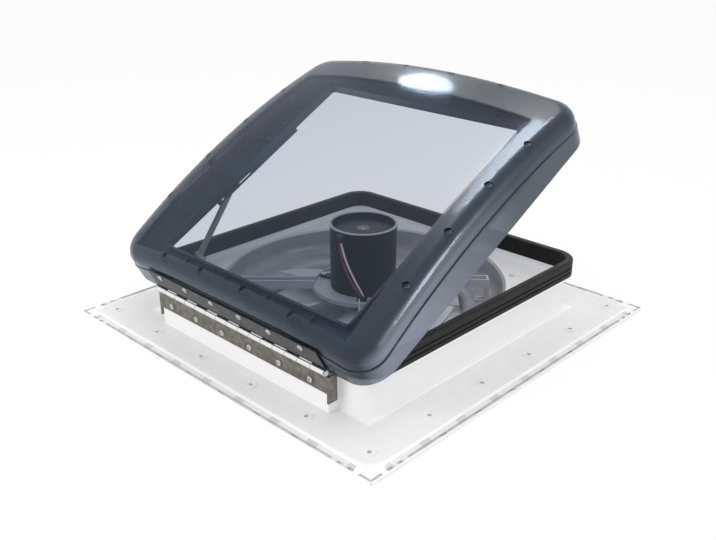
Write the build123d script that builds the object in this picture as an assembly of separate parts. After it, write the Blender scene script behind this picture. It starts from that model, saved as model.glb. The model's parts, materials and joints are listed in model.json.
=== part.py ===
from build123d import *
import os
from math import atan2, cos, degrees, hypot, radians, sin, sqrt, tan

# A roof vent for a caravan. A square flange carries a collar with a rubber seal. A smoked lid
# opens on a long hinge and is held by one stay arm. A fan motor stands in a round well inside.
# Millimetres, +Z up. The origin is the centre of the opening, on the roof surface.
# The hinge runs along X on the -Y side. The lid's parts are drawn shut and then turned open.

# Cuts run past the material by this much.
OVERRUN = 2.0

# Collar, its outward lip and the rib that the seal is pushed over
COLLAR_HALF = 193.0
COLLAR_CORNER = 30.0
COLLAR_WALL = 4.0
COLLAR_TOP = 56.0
LIP_REACH = 7.0
LIP_CORNER = 31.0
LIP_SHEET = 3.0
SEAL_RIB_INSET = 3.8
SEAL_RIB_SHEET = 2.4
SEAL_RIB_HEIGHT = 9.0

# Roof flange, whose reach is measured from the collar
FLANGE_REACH = 69.0
FLANGE_CORNER = 7.0
RIM_TOP = 3.2
RIM_WIDTH = 7.0
BEVEL_CORNER = 26.0
BEVEL_RUN = 8.0
PLATEAU_CORNER = 22.0
PLATEAU_TOP = 5.0

# Groove along the rim, its drain slots and the short slots near the corners, all measured from
# the flange's edge
GROOVE_INSET = 3.6
GROOVE_WIDTH = 3.4
GROOVE_FLOOR = 1.4
GROOVE_STOP = 57.0
DRAIN_PITCH = 60.0
DRAIN_LENGTH = 9.0
DRAIN_PAIRS = 3
CORNER_SLOT_INSETS = (45.0, 30.0)
CORNER_SLOT_LENGTH = 7.0
CORNER_GROOVE_INSET = 19.0

# Fixing holes in the flange, evenly spaced from corner to corner
HOLE_INSET = 34.0
HOLE_SPACES = 5
HOLE_RADIUS = 2.6
BOSS_RADIUS = 7.0
BOSS_TOP = 5.9

# Deck inside the collar, which leaves a round well
DECK_DROP = 6.0
DECK_SHEET = 3.0
WELL_INSET = 10.0

# Hinge block on the front of the collar, cored from below
BLOCK_HALF = 150.0
BLOCK_DEPTH = 15.3
BLOCK_DROP = 6.0
BLOCK_WALL = 2.6
BLOCK_EDGE = 2.0
BLOCK_RIB = 8.0

# Rubber seal
SEAL_WIDTH = 10.0
SEAL_HEIGHT = 22.0
SEAL_TOP_EDGE = 3.2
SEAL_FIT = 0.1
SEAL_GROOVE_DEPTH = 1.2
SEAL_GROOVE_HEIGHT = 2.2
SEAL_GROOVE_RISES = (5.0, 11.0)

# Hinge
OPEN_ANGLE = 28.0
LEAF_SHEET = 2.0
BARREL_RADIUS = 3.6
BARREL_GAP = 0.1
PIN_RADIUS = 2.0
PIN_FIT = 0.06
PIN_HEAD_RADIUS = 3.0
PIN_HEAD_HEIGHT = 1.0
KNUCKLE_LENGTH = 20.0
KNUCKLE_GAP = 0.6
NOTCH_GAP = 0.8
FIXED_LEAF_HEIGHT = 20.0
LID_LEAF_HEIGHT = 32.0
TAB_HEIGHT = 32.0
TAB_REACH = 11.3
LEAF_SCREW_COUNT = 6
LEAF_SCREW_END = 25.0
FIXED_SCREW_DROP = 12.0
LID_SCREW_RISE = 27.0

# Lid, drawn shut, whose reach is measured from the seal
DOME_REACH_X = 14.0
DOME_REACH_Y = 7.0
DOME_CORNER = 33.0
DOME_WALL = 3.0
DOME_UNDERLAP = 3.0
DOME_HEIGHT = 83.0
CROWN_RADIUS = 1090.0
EDGE_ROLL = 20.0
BAND_PROUD = 1.0
BAND_DROP = 24.0

# Screws along the edge of the lid, at two distances each way from its middle
RIM_SCREW_INSET = 12.0
RIM_SCREW_PLACES = (37.0, 112.0)
RIM_SCREW_SINK = 2.2
RIM_SCREW_BORE = 4.2
RIM_BOSS_FLOOR = 2.4
RIM_BOSS_RADIUS = 6.2

# Frame inside the lid
FRAME_GAP = 0.4
FRAME_CORNER = 28.0
FRAME_OVER_SEAL = 0.3
FRAME_SHEET = 3.0
FRAME_WALL = 2.6
FRAME_WALL_HEIGHT = 15.0
BORDER_X = 54.0
BORDER_Y = 43.0
PANE_SHIFT = -4.0
PANE_CORNER = 4.0
CURB_SHEET = 3.0
CURB_HEIGHT = 12.0
PILLAR_RADIUS = 5.5
FRAME_RIB_SHEET = 2.0
FRAME_RIB_HEIGHT = 8.0
LEAF_BOSS_RADIUS = 4.5
LEAF_BOSS_LENGTH = 8.0

# Screws
SCREW_FIT = 0.05
SCREW_PLAY = 0.25
SMALL_SHANK = 1.9
SMALL_HEAD = 3.6
SMALL_HEAD_HEIGHT = 2.0
SMALL_LENGTH = 12.0
RIM_SCREW_LENGTH = 17.0
SHORT_LENGTH = 9.0
RECESS_WIDTH = 0.9
RECESS_DEPTH = 1.0

# Stay arm with its foot and the slotted rail on the lid, measured from the seal, the deck and the
# hinge axis
STAY_INSET = 9.5
STAY_PIVOT_ALONG = 85.3
STAY_PIVOT_RISE = 14.0
STAY_PIN_ALONG = 176.0
STAY_PIN_RISE = 12.0
ARM_SHEET = 2.5
ARM_END_RADIUS = 6.0
ARM_WAIST = 8.4
ARM_BEAD_WIDTH = 3.0
ARM_BEAD_DEPTH = 0.6
ARM_BEAD_INSET = 16.0
STAY_GAP = 0.3
LUG_SHEET = 2.0
LUG_HALF = 12.0
LUG_END_RADIUS = 7.0
LUG_SHOULDER = 8.0
FOOT_DEPTH = 20.0
FOOT_SHEET = 2.0
FOOT_SCREW_INSET = 6.0
FOOT_SCREW_SPREAD = 7.0
RIVET_RADIUS = 2.5
RIVET_HEAD_RADIUS = 4.2
RIVET_HEAD_HEIGHT = 1.4
RAIL_SHEET = 2.0
RAIL_WEB_GAP = 1.5
RAIL_DEPTH = 16.3
RAIL_INSET = 2.0
RAIL_START = 140.0
RAIL_END = 300.0
SLOT_START = 150.0
SLOT_END = 202.0
ROLLER_RADIUS = 3.4
ROLLER_PLAY = 0.4
ROLLER_HEAD_RADIUS = 5.2
ROLLER_HEAD_HEIGHT = 1.3
RAIL_SCREW_PLACES = (146.0, 222.0, 258.0, 292.0)
RAIL_SCREW_LENGTH = 4.4

# Fan well under the deck
SHROUD_INSET = 3.0
SHROUD_WALL = 2.5
SHROUD_OVERLAP = 4.4
SHROUD_FLOOR = 16.5
SHROUD_TURN = 14.0
THROAT_RADIUS = 130.0
THROAT_LOW = 3.0
THROAT_MOUTH = 10.0
EAR_RADIUS = 8.5
EAR_REACH = 5.6

# Motor carrier
HUB_LOW = 37.0
HUB_SHEET = 3.0
HUB_MARGIN = 9.0
HUB_RIM_SHEET = 2.6
HUB_RIM_HEIGHT = 2.4
HUB_BORE = 12.0
ARM_SINK = 4.0
ARM_INSET = 17.0
CHANNEL_WIDTH = 15.0
CHANNEL_SHEET = 2.2
CHANNEL_RISE = 8.0
LEG_SHEET = 3.0
LEG_FOOT_LENGTH = 17.0

# Motor
CAN_RADIUS = 42.5
CAN_HEIGHT = 85.0
CAN_WALL = 2.0
CAN_BASE = 2.5
CAN_RIM_PROUD = 1.0
CAN_RIM_HEIGHT = 3.0
CAP_DEPTH = 7.0
CAP_SHEET = 3.0
CAP_LEDGE_WIDTH = 2.0
CAP_LEDGE_HEIGHT = 5.0
CAP_FIT = 0.1
LUG_ANGLES = (-161.0, 19.0)
LUG_REACH = 14.5
MOTOR_LUG_RADIUS = 5.6
MOTOR_LUG_SHEET = 3.0
MAGNET_SHEET = 5.0
MAGNET_RISE = 12.0
MAGNET_DROP = 14.0
MAGNET_BREAK = 13.0
ROTOR_GAP = 3.5
ROTOR_INSET = 4.0
ROTOR_SLOTS = 9
ROTOR_SLOT_WIDTH = 3.0
ROTOR_SLOT_DEPTH = 9.0
SHAFT_RADIUS = 4.0
SHAFT_DROP = 1.0
SHAFT_TIP = 0.5
BEARING_RADIUS = 8.0
BEARING_FIT = 0.04
LOWER_BEARING_RISE = 1.0
LOWER_BEARING_LENGTH = 9.0
UPPER_BEARING_LENGTH = 10.0

# Fan
BLADE_COUNT = 6
FAN_HUB_RADIUS = 30.0
FAN_HUB_LOW = 11.0
FAN_HUB_HEIGHT = 22.0
FAN_HUB_WALL = 3.0
FAN_BOSS_RADIUS = 8.0
BLADE_TIP_GAP = 4.0
BLADE_SINK = 2.0
BLADE_SHEET = 2.2
BLADE_ROOT_CHORD = 26.0
BLADE_TIP_CHORD = 88.0
BLADE_ROOT_ANGLE = 42.0
BLADE_TIP_ANGLE = 15.0
BLADE_RISE = 10.5
NUT_RADIUS = 7.0
NUT_HEIGHT = 5.0

# Wires and the two blocks that they run between
WIRE_RADIUS = 1.3
OUTLET_ANGLE = -84.0
OUTLET_REACH = 7.0
OUTLET_HALF = 5.0
OUTLET_HEIGHT = 9.0
OUTLET_FIT = 0.05
OUTLET_EDGE = 1.5
TERMINAL_REACH = 8.5
TERMINAL_ANGLE = -48.0
TERMINAL_LENGTH = 13.0
TERMINAL_DEPTH = 8.0
TERMINAL_HEIGHT = 6.0
TERMINAL_GROOVE = 1.2
ARC_SHARE = 0.45

# Flange and collar, as they follow from the sizes above
COLLAR_INNER = COLLAR_HALF - COLLAR_WALL
LIP_HALF = COLLAR_HALF + LIP_REACH
SEAL_RIB_HALF = LIP_HALF - SEAL_RIB_INSET
FLANGE_HALF = COLLAR_HALF + FLANGE_REACH
BEVEL_HALF = FLANGE_HALF - RIM_WIDTH
PLATEAU_HALF = BEVEL_HALF - BEVEL_RUN
GROOVE_LINE = FLANGE_HALF - GROOVE_INSET
GROOVE_REACH = FLANGE_HALF - GROOVE_STOP
CORNER_GROOVE_START = FLANGE_HALF - CORNER_GROOVE_INSET
HOLE_LINE = FLANGE_HALF - HOLE_INSET
DECK_TOP = COLLAR_TOP - DECK_DROP
DECK_LOW = DECK_TOP - DECK_SHEET
WELL_RADIUS = COLLAR_HALF - WELL_INSET
SEAL_TOP = COLLAR_TOP + SEAL_HEIGHT

# Hinge, whose axis is the line that the lid turns on
BLOCK_TOP = COLLAR_TOP - BLOCK_DROP
BLOCK_FRONT = -(COLLAR_HALF + BLOCK_DEPTH)
AXIS_Y = BLOCK_FRONT - BARREL_RADIUS - BARREL_GAP
AXIS_Z = COLLAR_TOP
KNUCKLES = 2 * round(BLOCK_HALF / KNUCKLE_LENGTH - 0.5) + 1
FIXED_LEAF_LOW = BLOCK_TOP - FIXED_LEAF_HEIGHT
LID_LEAF_HIGH = AXIS_Z + LID_LEAF_HEIGHT
TAB_LOW = BLOCK_TOP - TAB_HEIGHT
TAB_BACK = BLOCK_FRONT + TAB_REACH
FIXED_SCREW_Z = BLOCK_TOP - FIXED_SCREW_DROP
LID_SCREW_Z = AXIS_Z + LID_SCREW_RISE
LEAF_SCREW_PITCH = 2 * (BLOCK_HALF - LEAF_SCREW_END) / (LEAF_SCREW_COUNT - 1)

# Lid and stay
DOME_HALF_X = LIP_HALF + DOME_REACH_X
DOME_HALF_Y = LIP_HALF + DOME_REACH_Y
DOME_RIM = COLLAR_TOP - DOME_UNDERLAP
DOME_APEX = DOME_RIM + DOME_HEIGHT
DOME_BACK = -(DOME_HALF_Y + BAND_PROUD)
FRAME_LOW = SEAL_TOP + FRAME_OVER_SEAL
FRAME_HALF_X = DOME_HALF_X - DOME_WALL - FRAME_GAP
FRAME_HALF_Y = DOME_HALF_Y - DOME_WALL - FRAME_GAP
PANE_HALF_X = DOME_HALF_X - BORDER_X
PANE_HALF_Y = DOME_HALF_Y - BORDER_Y
SEAL_INNER = LIP_HALF - SEAL_WIDTH
STAY_X = -(SEAL_INNER - STAY_INSET)
STAY_PIVOT_Y = AXIS_Y + STAY_PIVOT_ALONG
STAY_PIVOT_Z = DECK_TOP + STAY_PIVOT_RISE
RAIL_LOW = FRAME_LOW - RAIL_DEPTH
RAIL_OUTER = -(SEAL_INNER - RAIL_INSET)
ARM_LEFT = STAY_X - ARM_SHEET / 2
ARM_RIGHT = STAY_X + ARM_SHEET / 2
LUG_RIGHT = ARM_LEFT - STAY_GAP
LUG_LEFT = LUG_RIGHT - LUG_SHEET
WEB_LEFT = ARM_RIGHT + RAIL_WEB_GAP
WEB_RIGHT = WEB_LEFT + RAIL_SHEET

# Fan well, motor and fan
DIAGONALS = (45.0, 135.0, 225.0, 315.0)
SHROUD_RADIUS = WELL_RADIUS - SHROUD_INSET
SHROUD_FLANGE_RADIUS = WELL_RADIUS + SHROUD_OVERLAP
EAR_SCREW_RADIUS = SHROUD_FLANGE_RADIUS + EAR_REACH
HUB_TOP = HUB_LOW + HUB_SHEET
CHANNEL_TOP = HUB_TOP + CHANNEL_RISE
ARM_OUTER_RADIUS = SHROUD_RADIUS - ARM_INSET
LEG_SCREW_RADIUS = ARM_OUTER_RADIUS - (LEG_SHEET + LEG_FOOT_LENGTH) / 2
LUG_SCREW_RADIUS = CAN_RADIUS + LUG_REACH
HUB_RADIUS = LUG_SCREW_RADIUS + HUB_MARGIN
ARM_INNER_RADIUS = HUB_RADIUS - ARM_SINK
CAN_TOP = HUB_TOP + CAN_HEIGHT
CAP_TOP = CAN_TOP - CAP_DEPTH
MAGNET_LOW = HUB_TOP + MAGNET_RISE
MAGNET_TOP = CAP_TOP - MAGNET_DROP
ROTOR_RADIUS = CAN_RADIUS - CAN_WALL - MAGNET_SHEET - ROTOR_GAP
ROTOR_LOW = MAGNET_LOW + ROTOR_INSET
ROTOR_TOP = MAGNET_TOP - ROTOR_INSET
SHAFT_LOW = FAN_HUB_LOW - NUT_HEIGHT - SHAFT_TIP
SHAFT_TOP = CAP_TOP - SHAFT_DROP
LOWER_BEARING_LOW = HUB_LOW + LOWER_BEARING_RISE
LOWER_BEARING_TOP = LOWER_BEARING_LOW + LOWER_BEARING_LENGTH
UPPER_BEARING_LOW = CAP_TOP - UPPER_BEARING_LENGTH
FAN_HUB_TOP = FAN_HUB_LOW + FAN_HUB_HEIGHT
BLADE_TIP_RADIUS = THROAT_RADIUS - BLADE_TIP_GAP
BLADE_ROOT_RADIUS = FAN_HUB_RADIUS - BLADE_SINK
BLADE_MIDDLE = FAN_HUB_LOW + BLADE_RISE
OUTLET_OUT = CAN_RADIUS + OUTLET_REACH
OUTLET_HIGH = CAN_TOP - CAN_RIM_HEIGHT
OUTLET_LOW = OUTLET_HIGH - OUTLET_HEIGHT
TERMINAL_RADIUS = CAN_RADIUS + TERMINAL_REACH

# Each wire is a list of places chosen by hand, from the hood on the can to the terminal block
WHITE_PLACES = (
    (6.6, -46.5, OUTLET_LOW),
    (6.6, -46.5, 102.0),
    (13.4, -47.4, 84.5),
    (25.2, -45.8, 68.5),
    (35.8, -37.0, 58.0),
    (35.8, -37.0, HUB_TOP + TERMINAL_HEIGHT),
)
RED_PLACES = (
    (3.2, -46.9, OUTLET_LOW),
    (3.2, -46.9, 101.0),
    (9.4, -48.8, 83.0),
    (21.4, -48.4, 67.0),
    (33.0, -39.5, 57.5),
    (33.0, -39.5, HUB_TOP + TERMINAL_HEIGHT),
)


def box_between(x_low, x_high, y_low, y_high, z_low, z_high):
    """Box given by its two limits along each axis."""
    middle = Pos((x_low + x_high) / 2, (y_low + y_high) / 2, (z_low + z_high) / 2)
    return middle * Box(x_high - x_low, y_high - y_low, z_high - z_low)


def upright(radius, low, high, x=0, y=0):
    """Vertical cylinder between two heights."""
    return Pos(x, y, (low + high) / 2) * Cylinder(radius, high - low)


def rod_along_x(radius, x_low, x_high, y, z):
    """Cylinder lying along X."""
    return Pos((x_low + x_high) / 2, y, z) * Rot(0, 90, 0) * Cylinder(radius, x_high - x_low)


def rod_along_y(radius, y_low, y_high, x, z):
    """Cylinder lying along Y."""
    return Pos(x, (y_low + y_high) / 2, z) * Rot(90, 0, 0) * Cylinder(radius, y_high - y_low)


def rounded_block(half_x, half_y, corner, low, high, shift_y=0):
    """Upright block with rounded corners."""
    outline = Pos(0, shift_y, low) * RectangleRounded(2 * half_x, 2 * half_y, corner)
    return extrude(outline, high - low)


def rounded_ring(half_x, half_y, corner, sheet, low, high, shift_y=0):
    """Upright ring of even thickness inside a rounded outline."""
    outer = rounded_block(half_x, half_y, corner, low, high, shift_y)
    inner_corner = max(corner - sheet, sheet)
    return outer - rounded_block(
        half_x - sheet, half_y - sheet, inner_corner, low - OVERRUN, high + OVERRUN, shift_y
    )


def around(shape, angle):
    """Turn a shape about the upright axis of the vent."""
    return Rot(0, 0, angle) * shape


def polar(radius, angle):
    """Place at a radius and an angle from the upright axis."""
    return radius * cos(radians(angle)), radius * sin(radians(angle))


def group(shapes):
    """Several separate solids in one node."""
    return Compound(children=[Part(s.wrapped) if not isinstance(s, Part) else s for s in shapes])


def opened(shape):
    """Turn a part of the shut lid to the open position."""
    to_axis = Pos(0, AXIS_Y, AXIS_Z)
    return to_axis * Rot(OPEN_ANGLE, 0, 0) * Pos(0, -AXIS_Y, -AXIS_Z) * shape


def screw(length):
    """Pan head screw with a cross recess, seated at the origin, with its shank along -Z."""
    head = fillet(
        upright(SMALL_HEAD, 0, SMALL_HEAD_HEIGHT).edges().group_by(Axis.Z)[-1], SMALL_HEAD_HEIGHT / 2
    )
    body = head + upright(SMALL_SHANK, -length, 0)
    floor = SMALL_HEAD_HEIGHT - RECESS_DEPTH
    half = RECESS_WIDTH / 2
    slot = box_between(-SMALL_SHANK, SMALL_SHANK, -half, half, floor, SMALL_HEAD_HEIGHT + OVERRUN)
    return body - slot - around(slot, 90)


# Places of repeated things


def flange_hole_places():
    """Twenty fixing holes: the corners and four more on each side."""
    step = 2 * HOLE_LINE / HOLE_SPACES
    runs = [-HOLE_LINE + step * index for index in range(HOLE_SPACES + 1)]
    places = [(run, side * HOLE_LINE) for side in (-1, 1) for run in runs]
    places += [(side * HOLE_LINE, run) for side in (-1, 1) for run in runs[1:-1]]
    return places


def leaf_screw_places():
    """X of the screws in each hinge leaf."""
    first = -LEAF_SCREW_PITCH * (LEAF_SCREW_COUNT - 1) / 2
    return [first + LEAF_SCREW_PITCH * index for index in range(LEAF_SCREW_COUNT)]


def rim_screw_places():
    """Sixteen screws along the edge of the lid."""
    across = DOME_HALF_X - RIM_SCREW_INSET
    along = DOME_HALF_Y - RIM_SCREW_INSET
    runs = [side * place for side in (-1, 1) for place in RIM_SCREW_PLACES]
    places = [(side * across, run) for side in (-1, 1) for run in runs]
    places += [(run, side * along) for side in (-1, 1) for run in runs]
    return places


def rim_screw_seat(x, y):
    """Height of the seat under a rim screw's head, below the crown and the rolled edge."""
    crown = DOME_APEX - (CROWN_RADIUS - sqrt(CROWN_RADIUS**2 - x**2 - y**2))
    roll = EDGE_ROLL - sqrt(EDGE_ROLL**2 - (EDGE_ROLL - RIM_SCREW_INSET) ** 2)
    return crown - roll - RIM_SCREW_SINK


# Base


def flange():
    """Rim plate, bevel and plateau, with grooves and slots along the rim."""
    plate = rounded_block(FLANGE_HALF, FLANGE_HALF, FLANGE_CORNER, 0, RIM_TOP)
    foot = Pos(0, 0, RIM_TOP) * RectangleRounded(2 * BEVEL_HALF, 2 * BEVEL_HALF, BEVEL_CORNER)
    crest = Pos(0, 0, PLATEAU_TOP) * RectangleRounded(2 * PLATEAU_HALF, 2 * PLATEAU_HALF, PLATEAU_CORNER)
    plateau = loft([foot.faces()[0], crest.faces()[0]], ruled=True)
    body = plate + plateau
    half_width = GROOVE_WIDTH / 2
    near, far = GROOVE_LINE - half_width, GROOVE_LINE + half_width
    above = RIM_TOP + OVERRUN
    cuts = []
    for angle in (0, 90, 180, 270):
        side = [box_between(-GROOVE_REACH, GROOVE_REACH, near, far, GROOVE_FLOOR, above)]
        for index in range(-DRAIN_PAIRS, DRAIN_PAIRS):
            place = DRAIN_PITCH * (index + 1 / 2)
            side.append(
                box_between(place - DRAIN_LENGTH / 2, place + DRAIN_LENGTH / 2, near, far, -OVERRUN, above)
            )
        for inset in CORNER_SLOT_INSETS:
            for sign in (-1, 1):
                middle = sign * (FLANGE_HALF - inset)
                half = CORNER_SLOT_LENGTH / 2
                side.append(box_between(middle - half, middle + half, near, far, GROOVE_FLOOR, above))
        side.append(box_between(CORNER_GROOVE_START, far, near, far, GROOVE_FLOOR, above))
        side.append(box_between(-far, -CORNER_GROOVE_START, near, far, GROOVE_FLOOR, above))
        cuts += [around(cut, angle) for cut in side]
    return body - cuts


def hinge_block():
    """Block that carries the fixed leaf, cored from below between its screw ribs."""
    body = box_between(-BLOCK_HALF, BLOCK_HALF, BLOCK_FRONT, -COLLAR_HALF + COLLAR_WALL / 2, 0, BLOCK_TOP)
    front = body.faces().sort_by(Axis.Y)[0]
    return fillet([edge for edge in front.edges() if edge.center().Z > RIM_TOP], BLOCK_EDGE)


def base_frame():
    """Flange, collar, lip, seal rib, deck and hinge block in one moulding."""
    body = flange() + rounded_block(COLLAR_HALF, COLLAR_HALF, COLLAR_CORNER, 0, COLLAR_TOP)
    body += rounded_block(LIP_HALF, LIP_HALF, LIP_CORNER, COLLAR_TOP - LIP_SHEET, COLLAR_TOP)
    body += hinge_block()
    body += [upright(BOSS_RADIUS, RIM_TOP, BOSS_TOP, x, y) for x, y in flange_hole_places()]
    inner_corner = COLLAR_CORNER - COLLAR_WALL
    body -= rounded_block(COLLAR_INNER, COLLAR_INNER, inner_corner, -OVERRUN, DECK_LOW)
    body -= rounded_block(COLLAR_INNER, COLLAR_INNER, inner_corner, DECK_TOP, COLLAR_TOP + OVERRUN)
    body -= upright(WELL_RADIUS, DECK_LOW - OVERRUN, DECK_TOP + OVERRUN)
    rib_corner = LIP_CORNER - (LIP_HALF - SEAL_RIB_HALF)
    body += rounded_ring(
        SEAL_RIB_HALF, SEAL_RIB_HALF, rib_corner, SEAL_RIB_SHEET, COLLAR_TOP, COLLAR_TOP + SEAL_RIB_HEIGHT
    )
    body -= [upright(HOLE_RADIUS, -OVERRUN, BOSS_TOP + OVERRUN, x, y) for x, y in flange_hole_places()]
    screw_xs = leaf_screw_places()
    half_rib = BLOCK_RIB / 2
    for left, right in zip(screw_xs, screw_xs[1:]):
        body -= box_between(
            left + half_rib,
            right - half_rib,
            BLOCK_FRONT + BLOCK_WALL,
            -COLLAR_HALF,
            -OVERRUN,
            BLOCK_TOP - BLOCK_WALL,
        )
    hole = SMALL_SHANK + SCREW_FIT
    for x in screw_xs:
        body -= rod_along_y(hole, BLOCK_FRONT - OVERRUN, BLOCK_FRONT + SMALL_LENGTH, x, FIXED_SCREW_Z)
    for x, y in foot_screw_places() + ear_places():
        body -= upright(hole, DECK_LOW - OVERRUN, DECK_TOP + OVERRUN, x, y)
    return body


def rubber_seal():
    """Seal with a rounded top, two grooves outside and a channel for the rib."""
    ring = rounded_ring(LIP_HALF, LIP_HALF, LIP_CORNER, SEAL_WIDTH, COLLAR_TOP, SEAL_TOP)
    ring = fillet(ring.edges().group_by(Axis.Z)[-1], SEAL_TOP_EDGE)
    channel_half = SEAL_RIB_HALF + SEAL_FIT
    channel_corner = LIP_CORNER - (LIP_HALF - channel_half)
    channel_top = COLLAR_TOP + SEAL_RIB_HEIGHT + SEAL_FIT
    channel_sheet = SEAL_RIB_SHEET + 2 * SEAL_FIT
    low = COLLAR_TOP - OVERRUN
    ring -= rounded_ring(channel_half, channel_half, channel_corner, channel_sheet, low, channel_top)
    outer, corner, depth = LIP_HALF + OVERRUN, LIP_CORNER + OVERRUN, SEAL_GROOVE_DEPTH + OVERRUN
    for rise in SEAL_GROOVE_RISES:
        low = COLLAR_TOP + rise
        ring -= rounded_ring(outer, outer, corner, depth, low, low + SEAL_GROOVE_HEIGHT)
    return ring


# Hinge


def knuckle_spans(parity):
    """Limits along X of every second knuckle, starting with the first or the second."""
    pitch = 2 * BLOCK_HALF / KNUCKLES
    spans = []
    for index in range(parity, KNUCKLES, 2):
        low = -BLOCK_HALF + pitch * index
        spans.append((low, low + pitch))
    return spans


def barrel(parity):
    """Knuckles of one leaf."""
    half_gap = KNUCKLE_GAP / 2
    return [
        rod_along_x(BARREL_RADIUS, low + half_gap, high - half_gap, AXIS_Y, AXIS_Z)
        for low, high in knuckle_spans(parity)
    ]


def leaf_notches(parity, y_low, y_high):
    """Cuts in a leaf round the other leaf's knuckles."""
    reach = BARREL_RADIUS + NOTCH_GAP
    half_gap = KNUCKLE_GAP / 2
    y_low, y_high = y_low - OVERRUN, y_high + OVERRUN
    z_low, z_high = AXIS_Z - reach, AXIS_Z + reach
    return [
        box_between(low - half_gap, high + half_gap, y_low, y_high, z_low, z_high)
        for low, high in knuckle_spans(parity)
    ]


def pin_bore():
    """Hole for the hinge pin through every knuckle."""
    reach = BLOCK_HALF + LEAF_SHEET + OVERRUN
    return rod_along_x(PIN_RADIUS + PIN_FIT, -reach, reach, AXIS_Y, AXIS_Z)


def fixed_hinge_leaf():
    """Leaf on the hinge block, with both ends bent back round it."""
    front = BLOCK_FRONT - LEAF_SHEET
    outer = BLOCK_HALF + LEAF_SHEET
    body = box_between(-BLOCK_HALF, BLOCK_HALF, front, BLOCK_FRONT, FIXED_LEAF_LOW, AXIS_Z)
    body -= leaf_notches(1, front, BLOCK_FRONT)
    body += box_between(-outer, outer, front, BLOCK_FRONT, FIXED_LEAF_LOW, BLOCK_TOP)
    body += box_between(BLOCK_HALF, outer, front, TAB_BACK, TAB_LOW, BLOCK_TOP)
    body += box_between(-outer, -BLOCK_HALF, front, TAB_BACK, TAB_LOW, BLOCK_TOP)
    body += barrel(0)
    body -= pin_bore()
    hole = SMALL_SHANK + SCREW_PLAY
    for x in leaf_screw_places():
        body -= rod_along_y(hole, front - OVERRUN, BLOCK_FRONT + OVERRUN, x, FIXED_SCREW_Z)
    return body


def lid_hinge_leaf():
    """Leaf on the back of the lid, drawn with the lid shut."""
    front = DOME_BACK - LEAF_SHEET
    body = box_between(-BLOCK_HALF, BLOCK_HALF, front, DOME_BACK, AXIS_Z, LID_LEAF_HIGH)
    body -= leaf_notches(0, front, DOME_BACK)
    body += barrel(1)
    body -= pin_bore()
    hole = SMALL_SHANK + SCREW_PLAY
    for x in leaf_screw_places():
        body -= rod_along_y(hole, front - OVERRUN, DOME_BACK + OVERRUN, x, LID_SCREW_Z)
    return body


def hinge_pin():
    """Long pin with a small head at each end."""
    end = BLOCK_HALF + KNUCKLE_GAP
    body = rod_along_x(PIN_RADIUS, -end, end, AXIS_Y, AXIS_Z)
    body += rod_along_x(PIN_HEAD_RADIUS, end, end + PIN_HEAD_HEIGHT, AXIS_Y, AXIS_Z)
    body += rod_along_x(PIN_HEAD_RADIUS, -end - PIN_HEAD_HEIGHT, -end, AXIS_Y, AXIS_Z)
    return body


def leaf_screws(face_y, z):
    """Screws of one leaf, with their heads on its outer face."""
    return [Pos(x, face_y, z) * Rot(90, 0, 0) * screw(SMALL_LENGTH) for x in leaf_screw_places()]


# Lid, drawn shut


def crowned_block(half_x, half_y, corner, low, drop, roll):
    """Rounded block under a wide sphere, with its top edge rolled over."""
    blank = rounded_block(half_x, half_y, corner, low, DOME_APEX + OVERRUN)
    crown = Pos(0, 0, DOME_APEX - drop - CROWN_RADIUS) * Rot(90, 0, 0) * Sphere(CROWN_RADIUS)
    body = blank & crown
    if roll > 0:
        body = fillet(body.faces().sort_by(Axis.Z)[-1].edges(), roll)
    return body


def dome_cavity(low, gap):
    """Space inside the lid, drawn in by a gap."""
    inset = DOME_WALL + gap
    return crowned_block(
        DOME_HALF_X - inset, DOME_HALF_Y - inset, DOME_CORNER - inset, low, inset, EDGE_ROLL - DOME_WALL
    )


def lid_dome():
    """Smoked lid with a crowned top, a rolled edge and a proud lip band."""
    body = crowned_block(DOME_HALF_X, DOME_HALF_Y, DOME_CORNER, DOME_RIM, 0, EDGE_ROLL)
    body += crowned_block(
        DOME_HALF_X + BAND_PROUD,
        DOME_HALF_Y + BAND_PROUD,
        DOME_CORNER + BAND_PROUD,
        DOME_RIM,
        BAND_DROP,
        0,
    )
    cavity = dome_cavity(DOME_RIM - OVERRUN, 0)
    cavity -= [
        upright(RIM_BOSS_RADIUS, rim_screw_seat(x, y) - RIM_BOSS_FLOOR, DOME_APEX, x, y)
        for x, y in rim_screw_places()
    ]
    body -= cavity
    hole = SMALL_SHANK + SCREW_PLAY
    for x, y in rim_screw_places():
        body -= upright(hole, DOME_RIM, DOME_APEX, x, y)
        body -= upright(RIM_SCREW_BORE, rim_screw_seat(x, y), DOME_APEX, x, y)
    for x in leaf_screw_places():
        body -= rod_along_y(hole, DOME_BACK - OVERRUN, DOME_BACK + SMALL_LENGTH, x, LID_SCREW_Z)
    return body


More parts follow.
